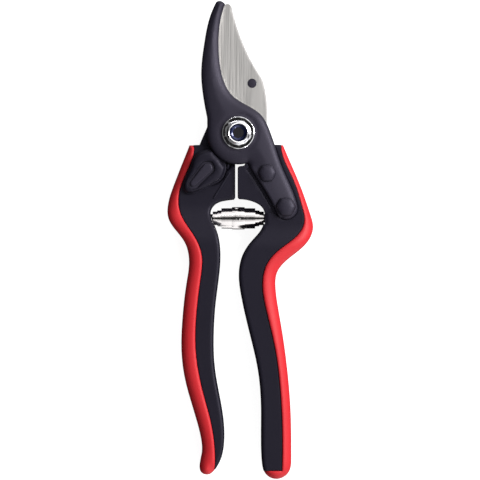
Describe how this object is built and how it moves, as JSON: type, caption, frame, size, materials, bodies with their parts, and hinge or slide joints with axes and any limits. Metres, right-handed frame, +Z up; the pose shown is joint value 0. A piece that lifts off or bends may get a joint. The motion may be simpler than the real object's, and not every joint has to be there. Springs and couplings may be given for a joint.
{
  "type": "bypass hand pruner",
  "caption": "Bypass hand pruner lying shut: curved blade and covered hook on a pivot, two padded handles, a volute spring between them and a thumb catch.",
  "frame": {"origin": "on the pivot's axis, in the plane that the tool lies on, at the back of the pivot bolt's head", "axes": "+Z up along the pivot towards the front of the tool, +Y to the tip of the blade, +X towards the handle that carries the hook"},
  "size_m": [0.0659, 0.2154, 0.0193],
  "materials": {
    "handle_black": "fine-grained glass-filled composite",
    "cover_black": "satin moulded composite, a little lighter",
    "grip_red": "soft red elastomer, satin",
    "blade_steel": "fine lengthwise grinding lines",
    "plate_steel": "ground",
    "dark_steel": "blackened",
    "nut_chrome": "mirror",
    "spring_chrome": "bright, slightly soft",
    "bush_bronze": "oiled bronze"
  },
  "bodies": {
    "hook_side": {"right_handle": "handle_black", "right_grip": "grip_red", "hook_cover": "cover_black", "counter_blade": "plate_steel", "tongue_cap_upper": "cover_black", "tongue_cap_lower": "cover_black", "tongue_screw_upper": "dark_steel", "tongue_screw_lower": "dark_steel", "pivot_bolt": "dark_steel", "pivot_washer": "plate_steel", "pivot_nut": "nut_chrome", "spring_peg_right": "dark_steel", "volute_spring": "spring_chrome"},
    "blade_side": {"left_handle": "handle_black", "left_grip": "grip_red", "blade": "blade_steel", "blade_plug": "cover_black", "pivot_bush": "bush_bronze", "tang_screw_upper": "dark_steel", "tang_screw_lower": "dark_steel", "spring_peg_left": "dark_steel", "catch_screw": "dark_steel", "catch_washer": "plate_steel"},
    "catch": {"catch_lever": "handle_black", "catch_key": "handle_black"}
  },
  "joints": [
    {"name": "pivot", "type": "hinge", "parent": "hook_side", "child": "blade_side", "pos_m": [0, 0, 0.00885], "axis": [0, 0, -1], "range_deg": [0, 30], "stiffness_Nm_per_rad": 1.43, "springref_deg": 48.13, "deforming": ["volute_spring"]},
    {"name": "catch_turn", "type": "hinge", "parent": "blade_side", "child": "catch", "pos_m": [-0.0135, -0.0155, 0.0138], "axis": [0, 0, 1], "range_deg": [0, 20]}
  ]
}
